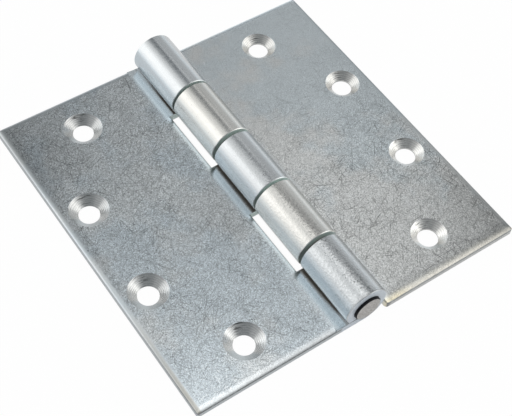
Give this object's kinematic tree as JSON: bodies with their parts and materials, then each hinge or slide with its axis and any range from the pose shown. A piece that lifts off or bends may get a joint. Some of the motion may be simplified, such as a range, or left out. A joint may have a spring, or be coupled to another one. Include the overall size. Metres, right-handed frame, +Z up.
{
  "type": "fixed pin hinge",
  "caption": "Square butt hinge of bright zinc-plated sheet steel: flat leaves with countersunk screw holes, curled into interlocking knuckles round a plain fixed pin.",
  "frame": {"origin": "below the middle of the pin, on the plane that the open leaves lie on", "axes": "+X to the two-knuckle leaf, +Y along the pin, +Z up from the leaves' backs to the barrel side"},
  "size_m": [0.099, 0.1014, 0.0122],
  "materials": {
    "zinc_plate": "bright zinc plate, satin",
    "pin_steel": "bare steel, sheared ends"
  },
  "bodies": {
    "fixed_leaf": {"three_knuckle_leaf": "zinc_plate", "hinge_pin": "pin_steel"},
    "swing_leaf": {"two_knuckle_leaf": "zinc_plate"}
  },
  "joints": [
    {"name": "leaf_swing", "type": "hinge", "parent": "fixed_leaf", "child": "swing_leaf", "pos_m": [0, 0, 0.0061], "axis": [0, -1, 0], "range_deg": [-90, 180]}
  ]
}
